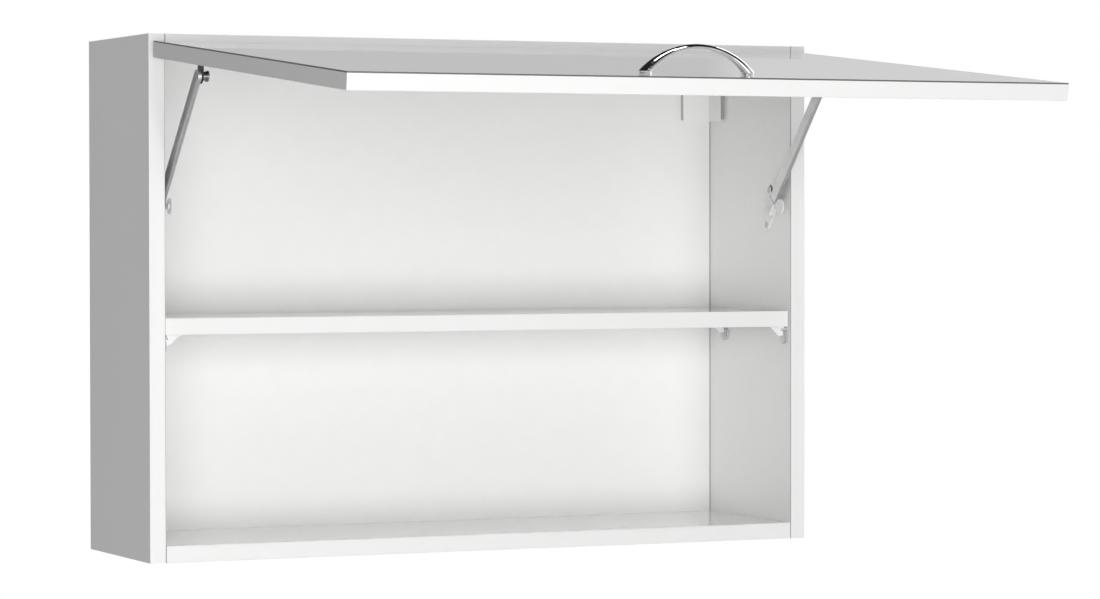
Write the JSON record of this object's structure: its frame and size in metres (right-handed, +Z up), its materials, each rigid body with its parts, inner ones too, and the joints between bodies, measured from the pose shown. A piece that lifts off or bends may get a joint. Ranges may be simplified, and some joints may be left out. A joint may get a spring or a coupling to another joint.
{
  "type": "lift up wall cabinet",
  "caption": "Wall-hung kitchen cabinet with a lift-up flap held open by a stay at each side, an inner shelf and a bow handle",
  "frame": {"origin": "centre of the wall face: half way across and half way up the rear face of the back panel", "axes": "+X to the right as seen from the front, +Y into the wall, +Z up; the front faces -Y; the flap is stored open"},
  "size_m": [0.7, 0.6846, 0.5],
  "materials": {
    "white_board": "white melamine-faced chipboard, smooth satin",
    "white_hardboard": "thin fibreboard, white lacquered",
    "white_edging": "white edge band",
    "dowel_wood": "fluted beech, raw",
    "zinc_steel": "zinc plated",
    "white_plastic": "white moulded plastic",
    "clear_plastic": "clear moulded plastic",
    "chrome": "polished chrome plate",
    "nickel_steel": "nickel plated",
    "spring_steel": "dark oiled spring strip",
    "stay_steel": "bright zinc plated strip"
  },
  "bodies": {
    "cabinet": {"left_side_panel": "white_board", "right_side_panel": "white_board", "top_panel": "white_board", "bottom_panel": "white_board", "back_panel": "white_hardboard", "carcass_edge_bands": "white_edging", "carcass_dowels": "dowel_wood", "cam_locks": "zinc_steel", "cam_bolts": "zinc_steel", "back_panel_nails": "zinc_steel", "shelf": "white_board", "shelf_edge_band": "white_edging", "shelf_supports": "clear_plastic", "left_hanger_plate": "zinc_steel", "right_hanger_plate": "zinc_steel", "left_hanger_cover": "white_plastic", "right_hanger_cover": "white_plastic", "hanger_screws": "zinc_steel", "left_hinge_plate": "nickel_steel", "right_hinge_plate": "nickel_steel", "left_hinge_arm": "nickel_steel", "right_hinge_arm": "nickel_steel", "hinge_plate_screws": "zinc_steel", "left_stay_bracket": "white_plastic", "right_stay_bracket": "white_plastic", "stay_bracket_screws": "zinc_steel", "left_catch_spring": "spring_steel", "right_catch_spring": "spring_steel"},
    "flap": {"flap_panel": "white_board", "flap_edge_band": "white_edging", "bow_handle": "chrome", "handle_screws": "zinc_steel", "left_hinge_cup": "nickel_steel", "right_hinge_cup": "nickel_steel", "hinge_cup_screws": "zinc_steel", "left_flap_bracket": "chrome", "right_flap_bracket": "chrome", "flap_bracket_screws": "zinc_steel", "left_stay_pin": "chrome", "right_stay_pin": "chrome"},
    "left_hinge_link": {"left_hinge_link": "nickel_steel"},
    "left_stay_arm": {"left_stay_arm": "stay_steel"},
    "left_stay_slider": {"left_stay_slider": "white_plastic", "left_brake_knob": "white_plastic"},
    "right_hinge_link": {"right_hinge_link": "nickel_steel"},
    "right_stay_arm": {"right_stay_arm": "stay_steel"},
    "right_stay_slider": {"right_stay_slider": "white_plastic", "right_brake_knob": "white_plastic"}
  },
  "joints": [
    {"name": "flap_hinge", "type": "hinge", "parent": "cabinet", "child": "flap", "pos_m": [0, -0.1985, 0.2401], "axis": [1, 0, 0], "range_deg": [0, 84.6]},
    {"name": "left_link_pivot", "type": "hinge", "parent": "cabinet", "child": "left_hinge_link", "pos_m": [-0.24, -0.1855, 0.2186], "axis": [1, 0, 0], "range_deg": [-28.73, 0]},
    {"name": "right_link_pivot", "type": "hinge", "parent": "cabinet", "child": "right_hinge_link", "pos_m": [0.24, -0.1855, 0.2186], "axis": [1, 0, 0], "range_deg": [-28.73, 0]},
    {"name": "left_stay_pivot", "type": "hinge", "parent": "flap", "child": "left_stay_arm", "pos_m": [-0.32795, -0.25878, 0.20728], "axis": [1, 0, 0], "range_deg": [-115.14, 0]},
    {"name": "left_stay_slide", "type": "slide", "parent": "left_stay_arm", "child": "left_stay_slider", "axis": [0, -0.6718, 0.7407], "range_m": [0, 0.07014]},
    {"name": "right_stay_pivot", "type": "hinge", "parent": "flap", "child": "right_stay_arm", "pos_m": [0.32795, -0.25878, 0.20728], "axis": [1, 0, 0], "range_deg": [-115.14, 0]},
    {"name": "right_stay_slide", "type": "slide", "parent": "right_stay_arm", "child": "right_stay_slider", "axis": [0, -0.6718, 0.7407], "range_m": [0, 0.07014]}
  ],
  "couplings": [
    {"joint": "left_link_pivot", "follows": "flap_hinge", "ratio": -0.3362},
    {"joint": "right_link_pivot", "follows": "flap_hinge", "ratio": -0.3362},
    {"joint": "left_stay_pivot", "follows": "flap_hinge", "ratio": -1.3476},
    {"joint": "left_stay_slide", "follows": "flap_hinge", "m_per_rad": 0.047029},
    {"joint": "right_stay_pivot", "follows": "flap_hinge", "ratio": -1.3476},
    {"joint": "right_stay_slide", "follows": "flap_hinge", "m_per_rad": 0.047029}
  ]
}
